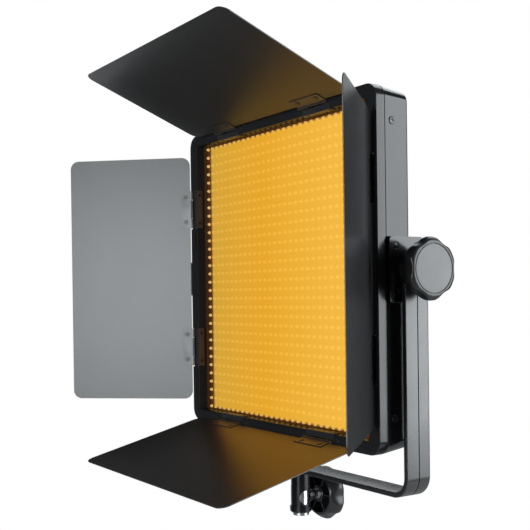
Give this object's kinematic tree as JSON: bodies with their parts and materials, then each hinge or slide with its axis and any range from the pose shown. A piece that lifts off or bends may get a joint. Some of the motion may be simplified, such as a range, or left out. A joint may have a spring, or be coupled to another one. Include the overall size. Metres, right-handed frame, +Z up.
{
  "type": "led panel light",
  "caption": "Square LED panel light on a U yoke, with an amber filter, folding barn doors, lobed tilt lock knobs and a clamped socket for a stand spigot.",
  "frame": {"origin": "on the axis of the stand socket at its open lower mouth", "axes": "+Z up along the stand axis, -Y the way the light shines, +X to the light's right-hand side as seen from the front"},
  "size_m": [0.5382, 0.2282, 0.4929],
  "materials": {
    "yoke_metal": "dark grey powder coat, satin",
    "receiver_metal": "satin black coated casting",
    "bright_steel": "zinc plated",
    "chrome": "polished",
    "knob_plastic": "satin moulded",
    "knob_cap_plastic": "fine satin",
    "brass": "turned",
    "bezel_plastic": "satin moulded",
    "shell_plastic": "fine-grain moulded",
    "spine_plastic": "fine-grain moulded",
    "block_metal": "satin moulded, glass filled",
    "washer_plastic": "fibre and rubber friction washer",
    "screw_steel": "nickel plated",
    "screw_black": "black oxide",
    "filter_sheet": "frosted amber sheet",
    "inner_plastic": "matte",
    "led_lens": "clear moulded lenses",
    "board": "solder mask",
    "heat_metal": "mill finish",
    "leaf_metal": "black coat",
    "door_metal": "black powder coat, fine texture",
    "rivet_metal": "painted over",
    "display_glass": "clear window over a dark display",
    "inlet_plastic": "moulded",
    "rocker_plastic": "moulded",
    "dial_plastic": "moulded, ribbed",
    "button_plastic": "moulded"
  },
  "bodies": {
    "yoke": {"yoke_bar": "yoke_metal", "stand_receiver": "receiver_metal", "socket_liner": "chrome", "receiver_bolt": "bright_steel"},
    "clamp": {"clamp_knob": "knob_plastic", "clamp_knob_cap": "knob_cap_plastic", "clamp_screw": "bright_steel"},
    "head": {"front_bezel": "bezel_plastic", "rear_shell": "shell_plastic", "rear_spine": "spine_plastic", "case_screws": "screw_steel", "amber_filter": "filter_sheet", "filter_frame": "inner_plastic", "led_array": "led_lens", "led_board": "board", "heat_plate": "heat_metal", "driver_board": "board", "pivot_block_left": "block_metal", "pivot_block_right": "block_metal", "block_screws": "screw_black", "pivot_stud_left": "bright_steel", "pivot_stud_right": "bright_steel", "tilt_washer_left": "washer_plastic", "tilt_washer_right": "washer_plastic", "frame_leaves_top": "leaf_metal", "frame_leaves_bottom": "leaf_metal", "frame_leaves_left": "leaf_metal", "frame_leaves_right": "leaf_metal", "leaf_screws": "screw_black", "hinge_pins": "bright_steel", "display_window": "display_glass", "dc_inlet": "inlet_plastic", "rocker_frame": "rocker_plastic"},
    "lock_left": {"tilt_knob_left": "knob_plastic", "tilt_knob_cap_left": "knob_cap_plastic", "knob_insert_left": "brass"},
    "lock_right": {"tilt_knob_right": "knob_plastic", "tilt_knob_cap_right": "knob_cap_plastic", "knob_insert_right": "brass"},
    "barn_door_top": {"door_top": "door_metal", "door_leaves_top": "leaf_metal", "door_rivets_top": "rivet_metal"},
    "barn_door_bottom": {"door_bottom": "door_metal", "door_leaves_bottom": "leaf_metal", "door_rivets_bottom": "rivet_metal"},
    "barn_door_left": {"door_left": "door_metal", "door_leaves_left": "leaf_metal", "door_rivets_left": "rivet_metal"},
    "barn_door_right": {"door_right": "door_metal", "door_leaves_right": "leaf_metal", "door_rivets_right": "rivet_metal"},
    "control_power_rocker": {"power_rocker": "rocker_plastic"},
    "control_dimmer_knob": {"dimmer_knob": "dial_plastic"},
    "control_colour_knob": {"colour_knob": "dial_plastic"},
    "control_mode_button": {"mode_button": "button_plastic"},
    "control_up_button": {"up_button": "button_plastic"},
    "control_down_button": {"down_button": "button_plastic"}
  },
  "joints": [
    {"name": "head_tilt", "type": "hinge", "parent": "yoke", "child": "head", "pos_m": [0, 0, 0.26], "axis": [-1, 0, 0], "range_deg": [-15, 90]},
    {"name": "door_top_hinge", "type": "hinge", "parent": "head", "child": "barn_door_top", "pos_m": [0, -0.0392, 0.425], "axis": [-1, 0, 0], "range_deg": [-111.9, 58.1]},
    {"name": "door_bottom_hinge", "type": "hinge", "parent": "head", "child": "barn_door_bottom", "pos_m": [0, -0.0392, 0.095], "axis": [1, 0, 0], "range_deg": [-103.7, 66.3]},
    {"name": "door_left_hinge", "type": "hinge", "parent": "head", "child": "barn_door_left", "pos_m": [-0.165, -0.0376, 0.26], "axis": [0, 0, -1], "range_deg": [-132.2, 37.8]},
    {"name": "door_right_hinge", "type": "hinge", "parent": "head", "child": "barn_door_right", "pos_m": [0.165, -0.0376, 0.26], "axis": [0, 0, 1], "range_deg": [-132.5, 37.5]},
    {"name": "lock_left_turn", "type": "hinge", "parent": "head", "child": "lock_left", "pos_m": [-0.2, 0, 0.26], "axis": [-1, 0, 0], "range_deg": [0, 360]},
    {"name": "lock_right_turn", "type": "hinge", "parent": "head", "child": "lock_right", "pos_m": [0.2, 0, 0.26], "axis": [1, 0, 0], "range_deg": [0, 360]},
    {"name": "clamp_turn", "type": "hinge", "parent": "yoke", "child": "clamp", "pos_m": [0, 0.03, 0.0195], "axis": [0, 1, 0], "range_deg": [0, 720]},
    {"name": "power_switch", "type": "hinge", "parent": "head", "child": "control_power_rocker", "pos_m": [0.125, 0.016, 0.26], "axis": [0, 0, 1], "range_deg": [0, 18]},
    {"name": "dimmer_turn", "type": "hinge", "parent": "head", "child": "control_dimmer_knob", "pos_m": [-0.088, 0.022, 0.26], "axis": [0, -1, 0], "range_deg": [-150, 150]},
    {"name": "colour_turn", "type": "hinge", "parent": "head", "child": "control_colour_knob", "pos_m": [-0.124, 0.022, 0.26], "axis": [0, -1, 0], "range_deg": [-150, 150]},
    {"name": "mode_press", "type": "slide", "parent": "head", "child": "control_mode_button", "axis": [0, -1, 0], "range_m": [0, 0.0012], "stiffness_N_per_m": 400, "springref_m": -0.0005},
    {"name": "up_press", "type": "slide", "parent": "head", "child": "control_up_button", "axis": [0, -1, 0], "range_m": [0, 0.0012], "stiffness_N_per_m": 400, "springref_m": -0.0005},
    {"name": "down_press", "type": "slide", "parent": "head", "child": "control_down_button", "axis": [0, -1, 0], "range_m": [0, 0.0012], "stiffness_N_per_m": 400, "springref_m": -0.0005}
  ]
}
